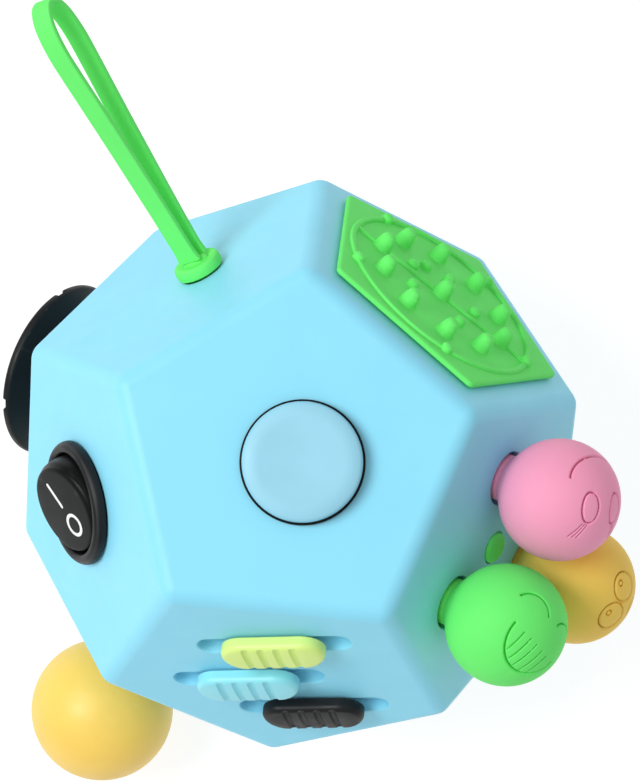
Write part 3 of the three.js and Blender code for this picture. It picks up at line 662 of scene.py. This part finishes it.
def slider_grip():
    """A long knob with round ends, a crowned top and four grooves that run out over its near side."""
    half, wide, edge = KNOB_LENGTH / 2, KNOB_WIDTH / 2, 0.7
    straight = half - wide
    ends = half - wide * (1 - np.cos(np.linspace(0.05, math.pi / 2, 26)))
    xs = np.concatenate([-ends, np.linspace(-straight, straight, 150)[1:-1], ends[::-1]])
    across = np.sin(np.linspace(-math.pi / 2, math.pi / 2, 41))
    rings = []
    for x in xs:
        over = max(abs(x) - straight, 0)
        w = math.sqrt(max(wide ** 2 - over ** 2, 0.0025))
        groove = max(0.0, *(1 - ((x - g) / GROOVE_HALF) ** 2 for g in GROOVES)) ** 0.7
        y = across * w
        inset = wide - np.hypot(y, over)
        high = KNOB_TOP - 0.2 * (y / wide) ** 2 - 0.35 * np.clip((abs(x) - 3.9) / (half - 3.9), 0, 1) ** 1.5
        drop = np.clip(edge - inset, 0, edge)
        high = high - (edge - np.sqrt(np.maximum(edge ** 2 - drop ** 2, 0)))
        fade = np.clip((wide - 0.35 - y) / 0.45, 0, 1) * np.clip((y + wide) / 0.8, 0.35, 1)
        high = high - GROOVE_DEPTH * groove * fade
        top = np.column_stack([np.full(41, x), y, high])
        near = -w + 0.1 * groove * min(1.0, w / wide)
        top[:6, 1] = np.maximum(top[:6, 1], near)
        right = [(x, w, h) for h in (0.7, GAP + 0.15)] + [(x, w * 0.96, GAP)]
        left = [(x, -w * 0.96, GAP), (x, -w, GAP + 0.15), (x, -w, 0.5), (x, near, 0.8)]
        rings.append(np.vstack([top, right, left]))
    return skin(rings)


def sliders():
    neck = slab(stadium(KNOB_NECK, KNOB_NECK_WIDTH, 20, 12), [(0.05, -4.0), (0, -3.9), (0, 0.9)])
    low = INSIDE - GAP
    shutter = slab(stadium(17.8, 3.4, 20, 12),
                   [(0.04, low + 0.06), (0, low + 0.1), (0, low + 0.2), (0.04, low + 0.24)])
    grip = slider_grip()
    for k, ((x, y), slot) in enumerate(zip(SLIDER_PLACES, ("lime_plastic", "sky_blue", "black_plastic"))):
        place, body = slider_place(x, y), f"slider_{k + 1}"
        piece(f"slider_grip_{k + 1}", [grip, neck], place, body, slot, [f"slider_knob_{k + 1}"], 32)
        piece(f"slider_shutter_{k + 1}", [shutter], place, body, None, material=MATERIALS["body_blue"])


# ---- rocker switch ----
ROCKER = (-1.0, -0.5, 9.0)
BEZEL, OPENING, BARREL, DEPTH, RIM, PIVOT, REACH, TILT = 7.9, 6.45, 7.0, 13.0, 1.7, 0.4, 6.27, 13.0
PADDLE_RADIUS, MARKS_TURN, MARKS_ASIDE, BAR_X, CIRCLE_X = 5.6, 8.0, 0.45, -2.04, 2.44


def paddle_top(xy):
    """The height of the paddle over its pin: crowned across the switch and lower on one side."""
    x, y = xy[:, 0], xy[:, 1]
    return 2.55 - 0.035 * x - 0.08 * y - 0.006 * y ** 2


def rocker_switch():
    """A round rocker: its paddle is a slice of a ball round the pin, so that it turns inside its bezel."""
    place = spot("rocker", *ROCKER)
    inner = BARREL - 0.9
    shell = soften([(0, -DEPTH), (BARREL, -DEPTH, 0.4), (BARREL, GAP), (BEZEL, GAP, 0.15), (BEZEL, 1.1, 0.6),
                    (BEZEL - 0.55, RIM, 0.45), (OPENING + 0.25, RIM, 0.2), (OPENING, RIM - 0.3, 0.15),
                    (OPENING, -0.8), (inner, -1.2), (inner, -DEPTH + 1.5), (0, -DEPTH + 1.5)], 6)
    piece("switch_bezel", [revolve(shell, 144)], place, "root", "black_plastic", ["rocker_bezel"])

    turns = np.arange(120) * 2 * math.pi / 120
    flat = np.column_stack([np.cos(turns), np.sin(turns)])
    aside = np.clip(flat[:, 1], 0, 1) ** 2
    edge = paddle_top(flat * PADDLE_RADIUS)
    rings = []
    for z, inset in ((-2.4, 0.86), (-1.6, 1), (-0.8, 1), (0.0, 1)):
        rings.append(np.column_stack([flat * math.sqrt(REACH ** 2 - z * z) * inset, np.full(len(flat), z)]))
    for share in (0.3, 0.5, 0.68):
        high = edge * share
        rings.append(np.column_stack([flat * np.sqrt(REACH ** 2 - high ** 2)[:, None], high]))
    rim = np.sqrt(REACH ** 2 - edge ** 2)
    for a in np.radians(np.linspace(8, 90, 14)):
        xy = flat * (rim - (0.5 + 0.4 * aside) * (1 - math.cos(a)))[:, None]
        rings.append(np.column_stack([xy, paddle_top(xy) - (0.45 + 0.15 * aside) * (1 - math.sin(a))]))
    for share in np.linspace(0.8, 0.04, 20):
        xy = flat * (rim * share)[:, None]
        rings.append(np.column_stack([xy, paddle_top(xy)]))
    rings.append(np.array([[0, 0, paddle_top(np.zeros((1, 2)))[0]]]))
    pin = revolve(soften([(0, -6.9), (0.8, -6.9, 0.15), (0.8, 6.9, 0.15), (0, 6.9)]), 24)
    pin = moved(pin, matrix=Matrix.Rotation(math.pi / 2, 4, "X"))
    keel = slab(stadium(7.5, 2.4, 20, 12), [(0.9, -4.3), (0.4, -4.2), (0, -3.4), (0, -1.5)])
    tilted = place @ Matrix.Translation((0, 0, PIVOT)) @ Matrix.Rotation(math.radians(TILT), 4, "Y")
    piece("switch_paddle", [skin(rings), pin, keel], tilted, "rocker", "black_plastic", ["rocker_paddle"], 38,
          DEEP_BLACK)

    bar = slab(stadium(3.78, 0.46, 24, 8), [(0.02, 0), (0, 0), (0.02, 0), (0.1, 0)])
    ring = [(1.1, 0), (1.12, 0.02), (1.54, 0.02), (1.56, 0), (1.56, -0.1), (1.1, -0.1)]
    ring = revolve(ring, 72, loop=True)
    marks = []
    for (verts, faces), x, lifts in ((bar, BAR_X, (-0.08, 0.02, 0.035, 0.035)), (ring, CIRCLE_X, None)):
        verts = verts.copy()
        verts[:, 0] += x
        if lifts:
            verts[:, 2] = np.repeat(lifts, len(verts) // 4)
        verts = moved((verts, faces), y=MARKS_ASIDE, turn=MARKS_TURN)[0]
        verts[:, 2] += paddle_top(verts) + 0.012
        marks.append((verts, faces))
    piece("switch_marks", marks, tilted, "rocker", None, (), 40, WHITE_PAINT)


# ---- dial ----
DIAL_RADIUS, DIAL_TOP, DIAL_RIM, HUB, NOTCHES, NOTCH_TURN = 11.9, 9.6, 1.1, 4.2, 4, 50.6


def dial():
    place = SIDE["dial"]

    def notched(ring, turns, r, z):
        """Cuts the notches into the rings at the rim's upper edge."""
        if r < DIAL_RADIUS - 1.2 or z < DIAL_TOP - 0.75:
            return ring
        out = ring.copy()
        for k in range(NOTCHES):
            a = math.radians(NOTCH_TURN + 360 / NOTCHES * k)
            off = np.abs((turns - a + math.pi) % (2 * math.pi) - math.pi) * r
            bite = np.clip((0.78 - off) / 0.14, 0, 1)
            out[:, :2] *= (1 - bite * 0.4 / r * (r > DIAL_RADIUS - 0.35))[:, None]
            out[:, 2] -= bite * 0.34
        return out

    rim = [(2.2, 0.7), (HUB, 0.7, 0.2), (HUB, 5.4, 0.6), (6.5, 6.4, 0.8),
           (DIAL_RADIUS - 0.1, DIAL_TOP - DIAL_RIM - 0.02, 0.25), (DIAL_RADIUS, DIAL_TOP - 0.75, 0.1),
           (DIAL_RADIUS, DIAL_TOP - 0.3, 0.12), (DIAL_RADIUS - 0.25, DIAL_TOP, 0.14),
           (DIAL_RADIUS - 0.8, DIAL_TOP, 0.1), (DIAL_RADIUS - 0.95, DIAL_TOP - 0.05),
           (8.6, DIAL_TOP - 0.1, 0.3), (7.2, DIAL_TOP - 0.9, 0.5), (3.9, DIAL_TOP - 1.1, 0.2), (3.9, 6.6),
           (2.2, 6.6)]
    wheel = revolve(soften(rim, 6), 360, loop=True, tweak=notched)
    piece("dial_disc", [wheel], place, "dial", "black_plastic", ["dial_wheel"], 32)
    cover = soften([(0, 8.0), (3.6, 8.0, 0.15), (3.6, 8.55, 0.2), (3.2, 8.7, 0.3), (1.2, 8.62), (0, 8.6)])
    piece("dial_cover", [revolve(cover, 72)], place, "dial", "black_plastic", ["dial_cap"])


# ---- ball-top stick ----
STICK_X, STICK_BALL, STICK_HEIGHT, SHAFT, STICK_PIVOT = 0.9, 9.5, 16.45, 2.2, -4.5
RELIEF_RADIUS, RELIEF_DEPTH = 6.5, 0.15


def ball_stick():
    place = spot("stick", STICK_X, 0)
    low = STICK_HEIGHT - STICK_BALL
    mouth = 3.0
    start = math.asin(mouth / STICK_BALL) - math.pi / 2
    # The socket for the rod, its softened mouth, the ball's outside and its top.
    ball = [(0, low + 8), (2.5, low + 8), (2.5, low + 0.9), (mouth - 0.35, low + 0.62)]
    for a in np.linspace(start, math.pi / 2, 72)[1:-1]:
        ball.append((STICK_BALL * math.cos(a), STICK_HEIGHT + STICK_BALL * math.sin(a)))
    ball.append((0, STICK_HEIGHT + STICK_BALL))
    piece("stick_ball", [revolve(ball, 128)], place, "stick", "yellow_plastic", ["stick_knob"])
    rod = soften([(0, -9), (SHAFT, -9, 0.5), (SHAFT, low + 7.6, 0.3), (0, low + 7.6)])
    pin = revolve(soften([(0, -5.4), (0.7, -5.4, 0.2), (0.7, 5.4, 0.2), (0, 5.4)]), 24)
    pin = moved(pin, matrix=Matrix.Translation((0, 0, STICK_PIVOT)) @ Matrix.Rotation(math.pi / 2, 4, "X"))
    piece("stick_rod", [revolve(rod, 64), pin], place, "stick", "steel", ["stick_shaft"])
    collar = soften([(3.6, 0.3), (6.4, 0.3, 0.15), (6.25, 0.95, 0.35), (4.7, 1.4, 0.4), (3.75, 1.38, 0.15),
                     (3.6, 1.2)])
    piece("stick_ring", [revolve(collar, 96, loop=True)], place, "root", "black_plastic", ["stick_collar"])


# ---- press buttons ----
BUTTON_RING, BUTTON_RADIUS, BUTTON_TOP = 8.2, 2.9, 1.6


def button_place(k):
    return spot("buttons", *about(BUTTON_RING, 90 + 72 * k))


def press_buttons():
    """Five buttons, with one to five small pips on them."""
    looks = ("yellow_plastic", "green_plastic", "pink_plastic", "sky_blue", "lime_plastic")
    cap = soften([(0, -3.2), (3.9, -3.2, 0.2), (3.9, INSIDE - GAP, 0.2), (BUTTON_RADIUS, INSIDE - GAP),
                  (BUTTON_RADIUS, 1.15, 0.35), (BUTTON_RADIUS - 0.5, 1.55, 0.4), (1.9, BUTTON_TOP, 0.15),
                  (1.75, 1.42, 0.15), (0, 1.36)], 6)
    pip = revolve([(0, 1.2), (0.3, 1.2), (0.28, 1.46), (0.2, 1.54), (0, 1.58)], 20)
    for k, slot in enumerate(looks):
        pips = [moved(pip, *about(0.85 if k else 0.0, 90 + 360 * j / (k + 1))) for j in range(k + 1)]
        body = f"press_button_{k + 1}"
        piece(f"button_cap_{k + 1}", [revolve(cap, 72), *pips], button_place(k), body, slot, [body])


# ---- gears ----
GEAR_RADIUS, TEETH, GEAR_WIDTH, GEAR_PITCH, AXLE_Z, AXLE = 5.4, 10, 2.4, 4.2, -3.6, 0.9


def gear_wheels():
    count = TEETH * 24
    turns = np.arange(count) * 2 * math.pi / count
    wave = np.cos(turns * TEETH)
    tooth = GEAR_RADIUS - 0.8 * (0.5 - 0.5 * np.tanh(2.6 * wave) / math.tanh(2.6))
    flat = np.column_stack([np.cos(turns), np.sin(turns)])
    half = GEAR_WIDTH / 2
    hub = np.full(count, 2.6)
    bore = np.full(count, AXLE + GAP)
    rings = []
    near = [(bore, -half), (hub, -half), (hub + 0.15, -half + 0.25), (hub + 0.7, -half + 0.25),
            (hub + 0.85, -half), (tooth - 0.25, -half), (tooth - 0.08, -half + 0.07), (tooth, -half + 0.25)]
    far = [(radius, -z) for radius, z in reversed(near)]
    for radius, z in near + far:
        rings.append(np.column_stack([flat * radius[:, None], np.full(count, z)]))
    wheel = moved(skin(rings, loop=True), matrix=Matrix.Rotation(math.pi / 2, 4, "Y"))
    for k, slot in enumerate(("yellow_plastic", "green_plastic", "pink_plastic")):
        piece(f"gear_wheel_{k + 1}", [moved(wheel, (k - 1) * GEAR_PITCH, 0, AXLE_Z)], SIDE["gears"],
              f"gear_{k + 1}", slot, [f"gear_{k + 1}"], 38)


# ---- worry stone and base pad ----
STONE_HOLE, STONE_RIM, BASE_PAD = 11.2, 12.6, 16.2


def worry_stone():
    """A shallow dish with six raised rings."""
    dish = [(0, -2.8), (5, -2.5, 1.5), (10.6, -1.2, 0.6), (10.9, GAP), (STONE_RIM, GAP, 0.1),
            (STONE_RIM, 0.72, 0.25), (STONE_RIM - 0.45, 1.0, 0.35), (11.5, 1.0, 0.45), (9.5, -0.1, 1.0)]
    for k in range(6):
        r = 8.3 - k * 1.35
        low = -1.6 + 1.5 * (r / 9.5) ** 2
        dish += [(r + 0.42, low + 0.06), (r + 0.22, low + 0.05, 0.1), (r + 0.1, low + 0.22, 0.12),
                 (r - 0.1, low + 0.22, 0.12), (r - 0.22, low, 0.1), (r - 0.5, low - 0.06)]
    dish.append((0, -1.6))
    piece("thumb_dish", [revolve(soften(dish), 144)], SIDE["stone"], "root", "sky_blue", ["worry_stone"])


def base_pad():
    """The pad that the toy stands on, with grooves that follow its outline."""
    outline = pentagon(BASE_PAD, 1.2, -90, 10, 20)
    levels = [(BASE_PAD - 0.2, GAP), (0.2, GAP), (0, GAP + 0.1), (0, 0.85), (0.1, 1.1), (0.3, BASE_PROUD)]
    inset = 1.4
    while inset < 13.5:
        levels += [(inset, BASE_PROUD), (inset + 0.12, BASE_PROUD - 0.3), (inset + 0.5, BASE_PROUD - 0.3),
                   (inset + 0.62, BASE_PROUD)]
        inset += 1.6
    levels.append((BASE_PAD - 0.2, BASE_PROUD))
    piece("foot_pad", [slab(outline, levels)], SIDE["base"], "root", "blue_silicone", ["base_pad"])


# ---- the two shells ----
SPLIT = GAP * 0.6
BOSS_RING, BOSS_TURNS = 13.2, (72, 144, 288)
BOSSES = [Matrix.Translation((*about(BOSS_RING, 90 - a), 0)) for a in BOSS_TURNS]


def touching(a, b):
    """Whether two sides, given by their normals, share an edge."""
    return abs(a.dot(b) - RING_Z) < 1e-5


def body_corners(inradius):
    """The dodecahedron's corners, each with the three sides that meet in it."""
    found = []
    for i in range(12):
        for j in range(i + 1, 12):
            for k in range(j + 1, 12):
                a, b, c = normals[i], normals[j], normals[k]
                if touching(a, b) and touching(b, c) and touching(a, c):
                    found.append(((a + b + c) * (inradius / (1 + 2 * RING_Z)), (i, j, k)))
    return found


def hull(points):
    """The convex skin over a cloud of points."""
    work = bmesh.new()
    for p in points:
        work.verts.new(p)
    result = bmesh.ops.convex_hull(work, input=work.verts)
    loose = [g for g in result["geom_interior"] + result["geom_unused"] if isinstance(g, bmesh.types.BMVert)]
    bmesh.ops.delete(work, geom=loose, context="VERTS")
    work.verts.index_update()
    verts = np.array([v.co[:] for v in work.verts])
    faces = [[v.index for v in f.verts] for f in work.faces]
    work.free()
    return verts, faces


def rounded_body(steps=9):
    """The dodecahedron with rounded edges: the hull of a patch of a ball in each corner."""
    points = []
    for at, sides in body_corners(INRADIUS - FILLET):
        a, b, c = (normals[i] for i in sides)
        for i in range(steps + 1):
            for j in range(steps + 1 - i):
                way = (a * i + b * j + c * (steps - i - j)).normalized()
                points.append(at + way * FILLET)
    return hull(points)


def upper_space(size, lift):
    """The space over the upper six sides, whose rim follows the body's edges in a zigzag."""
    corners = body_corners(size)
    verts = [Vector((0, 0, 0))] + [at for at, _ in corners]
    faces, rims = [], {}
    for index in range(6):
        normal = normals[index]
        ring = [k for k, (_, sides) in enumerate(corners) if index in sides]
        x = (corners[ring[0]][0] - normal * size).normalized()
        y = normal.cross(x)
        ring.sort(key=lambda k: math.atan2(corners[k][0].dot(y), corners[k][0].dot(x)))
        faces.append([k + 1 for k in ring])
        for a, b in zip(ring, ring[1:] + ring[:1]):
            key = (min(a, b), max(a, b))
            rims[key] = rims.get(key, 0) + 1
    faces += [[0, a + 1, b + 1] for (a, b), count in rims.items() if count == 1]
    return np.array([v + Vector((0, 0, lift)) for v in verts]), faces


def boolean(target, tools, how):
    """Carves or joins tool parts, given in the body's frame, into the target object one by one."""
    for part in tools:
        tool = mesh_object("tool", [part], Matrix.Translation((0, 0, BODY_Z)))
        change = target.modifiers.new("cut", "BOOLEAN")
        change.operation = how
        change.solver = "MANIFOLD"
        change.object = tool
        bpy.context.view_layer.update()
        mesh = bpy.data.meshes.new_from_object(target.evaluated_get(bpy.context.evaluated_depsgraph_get()))
        target.modifiers.clear()
        old, target.data = target.data, mesh
        bpy.data.meshes.remove(old)
        bpy.data.objects.remove(tool)


def even_normals(mesh):
    """Gives the flat sides and the rounded edges between them their exact normals."""
    points = np.empty(len(mesh.vertices) * 3)
    mesh.vertices.foreach_get("co", points)
    points = points.reshape(-1, 3) / MM - np.array([0, 0, BODY_Z])
    corners = body_corners(INRADIUS - FILLET)
    edges = [(a, b) for k, (a, sides) in enumerate(corners) for b, others in corners[k + 1:]
             if len(set(sides) & set(others)) == 2]
    best, way = np.full(len(points), 99.0), np.zeros((len(points), 3))
    for a, b in edges:
        a, b = np.array(a), np.array(b)
        t = np.clip(((points - a) @ (b - a)) / ((b - a) @ (b - a)), 0, 1)
        off = points - a - t[:, None] * (b - a)
        far = np.linalg.norm(off, axis=1)
        closer = far < best
        best[closer], way[closer] = far[closer], (off / far[:, None])[closer]
    rounded = np.abs(best - FILLET) < 0.03
    custom = np.zeros((len(mesh.loops), 3))
    sides = np.array([n[:] for n in normals])
    for face in mesh.polygons:
        normal = np.array(face.normal)
        if normal.max() == normal.min():
            continue
        loops, around = list(face.loop_indices), list(face.vertices)
        flat = sides @ normal
        if flat.max() > 0.9998 and np.abs(points[around] @ sides[flat.argmax()] - INRADIUS).max() < 0.03:
            custom[loops] = sides[flat.argmax()]
        elif rounded[around].all() and (way[around] @ normal).min() > 0.97:
            custom[loops] = way[around]
    mesh.normals_split_custom_set(custom.tolist())


def in_body(place, part):
    """A part of a side in the body's own frame, which has its origin in the body's middle."""
    return moved(part, matrix=Matrix.Translation((0, 0, -BODY_Z)) @ place)


def round_hole(radius, lip=0.25, depth=4.0, count=72):
    """Cutter for a hole whose mouth is rounded off."""
    profile = [(0, -depth), (radius, -depth), (radius, -lip)]
    profile += [(radius + lip * (1 - math.cos(math.radians(a))), -lip * (1 - math.sin(math.radians(a))))
                for a in (18, 36, 54, 72, 90)]
    profile += [(radius + lip + 0.6, 0.8), (0, 0.8)]
    return revolve(profile, count)


def shells():
    """Hollows out the body, cuts what each side needs and splits it into its two halves."""
    recesses, holes = [], []
    swing = TRAVEL * math.sqrt(2) + STEM + 0.4
    holes.append(in_body(spot("glide", *GLIDE), round_hole(swing)))
    holes.append(in_body(spot("strap", *STRAP), round_hole(2.5)))
    for degrees in MAT_PEG_TURNS:
        holes.append(in_body(spot("mat", *about(MAT_PEGS, degrees)), round_hole(1.3, 0.15, count=32)))
    for k in range(3):
        holes.append(in_body(ball_place(k), round_hole(BALL_HOLE, 0.2)))
    holes.append(in_body(spot("balls", 0, NUB_Y), round_hole(NUB_RADIUS + 0.14, 0.06, count=48)))
    slot = stadium(SLOT_LENGTH, SLOT_WIDTH, 16, 24)
    lip = 0.22
    slit = stadium(KNOB_NECK + 2 * SLIDER_TRAVEL + 2 * GAP, KNOB_NECK_WIDTH + 2 * GAP, 10, 14)
    for x, y in SLIDER_PLACES:
        place = slider_place(x, y)
        levels = [(0.3, -RECESS), (0.08, -RECESS + 0.07), (0, -RECESS + 0.25), (0, -lip), (-0.04, -0.09),
                  (-0.12, -0.03), (-lip, 0), (-lip - 0.6, 0.8)]
        recesses.append(in_body(place, slab(slot, levels)))
        holes.append(in_body(place, slab(slit, [(0, -4.0), (0, 0.6)])))
    holes.append(in_body(spot("rocker", *ROCKER), round_hole(BARREL + GAP, 0.2, count=96)))
    holes.append(in_body(spot("stick", STICK_X, 0), round_hole(4.0)))
    top = INSIDE + RELIEF_DEPTH
    relief = revolve([(0, -4.0), (RELIEF_RADIUS, -4.0), (RELIEF_RADIUS, top), (0, top)], 72)
    holes.append(in_body(spot("stick", STICK_X, 0), relief))
    dial_hole = in_body(SIDE["dial"], round_hole(3.3, 0.25, 7.0))
    for k in range(5):
        holes.append(in_body(button_place(k), round_hole(BUTTON_RADIUS + GAP, 0.25)))
    chord = math.sqrt(GEAR_RADIUS ** 2 - (AXLE_Z - INSIDE) ** 2) + 0.5
    window = slab(stadium(2 * chord, 3.1, 12, 6),
                  [(0, -4.0), (0, -0.2), (-0.06, -0.06), (-0.2, 0), (-0.8, 0.8)])
    for k in (-1, 0, 1):
        holes.append(in_body(spot("gears", k * GEAR_PITCH, 0, 90), window))
    holes.append(in_body(SIDE["stone"], round_hole(STONE_HOLE, 0.2, count=96)))

    inner = hull([at for at, _ in body_corners(INRADIUS - WALL)])
    wall = mesh_object("wall", [rounded_body()], Matrix.Translation((0, 0, BODY_Z)))
    boolean(wall, [inner], "DIFFERENCE")
    boolean(wall, recesses, "DIFFERENCE")
    boolean(wall, holes, "DIFFERENCE")
    boss = revolve(soften([(0, -5.6), (5.2, -5.6, 0.3), (5.2, INSIDE + 0.5), (0, INSIDE + 0.5)]), 48)
    boolean(wall, [in_body(SIDE["dial"], boss)], "UNION")
    boolean(wall, [dial_hole], "DIFFERENCE")
    for name, lift, how, node in (("front_half", SPLIT, "INTERSECT", "front_shell"),
                                  ("rear_half", -SPLIT, "DIFFERENCE", "rear_shell")):
        half = bpy.data.objects.new(name, wall.data.copy())
        scene.collection.objects.link(half)
        boolean(half, [upper_space(INRADIUS * 1.8, lift)], how)
        screw_bosses(half, name == "front_half")
        half.data.polygons.foreach_set("use_smooth", [True] * len(half.data.polygons))
        half.data.set_sharp_from_angle(angle=math.radians(28))
        even_normals(half.data)
        finished(half, "root", "body_blue", [node])
    bpy.data.objects.remove(wall)


def screw_bosses(half, front):
    """Adds the three bosses to a half, with their pilot holes and, at the rear, the screws' sinks."""
    seat, length, inner = -INRADIUS + 8, 26, INRADIUS - WALL + 0.5
    z0, z1 = (SPLIT, inner) if front else (-inner, -SPLIT)
    solid = revolve([(0, z0), (2.6, z0), (2.9, z0 + 0.3), (2.9, z1 - 0.3), (2.6, z1), (0, z1)], 40)
    boolean(half, [moved(solid, matrix=m) for m in BOSSES], "UNION")
    pilot = revolve([(0, seat - 2), (1.4, seat - 2), (1.4, seat + length + 1), (0, seat + length + 1)], 24)
    boolean(half, [moved(pilot, matrix=m) for m in BOSSES], "DIFFERENCE")
    if not front:
        sink = revolve([(0, -INRADIUS - 1), (2.3, -INRADIUS - 1), (2.3, seat), (0, seat)], 40)
        boolean(half, [moved(sink, matrix=m) for m in BOSSES], "DIFFERENCE")


# ---- everything ----
glide_pad()
strap_loop()
massage_mat()
face_balls()
sliders()
rocker_switch()
dial()
ball_stick()
press_buttons()
gear_wheels()
worry_stone()
base_pad()
shells()

# The CAD nodes that stay: the record's finish, and edges that are slightly broken.
slot_of = {part["node"]: part["material_slot"] for part in frame["record"]["subparts"]}
for name, node in frame["nodes"].items():
    for entry in node.material_slots:
        entry.material = MATERIALS[slot_of[name]]
    rounded = node.modifiers.new("rounded", "BEVEL")
    rounded.width = 0.12 * MM
    rounded.segments = 2
    rounded.limit_method = "ANGLE"
    rounded.angle_limit = math.radians(40)

# A square floor, three metres to each side of the toy.
floor_mesh = bpy.data.meshes.new("floor")
floor_corners = [(3.0 * x, 3.0 * y, 0) for x, y in ((-1, -1), (1, -1), (1, 1), (-1, 1))]
floor_mesh.from_pydata(floor_corners, [], [(0, 1, 2, 3)])
floor = bpy.data.objects.new("floor", floor_mesh)
scene.collection.objects.link(floor)
floor_mesh.materials.append(FLOOR)
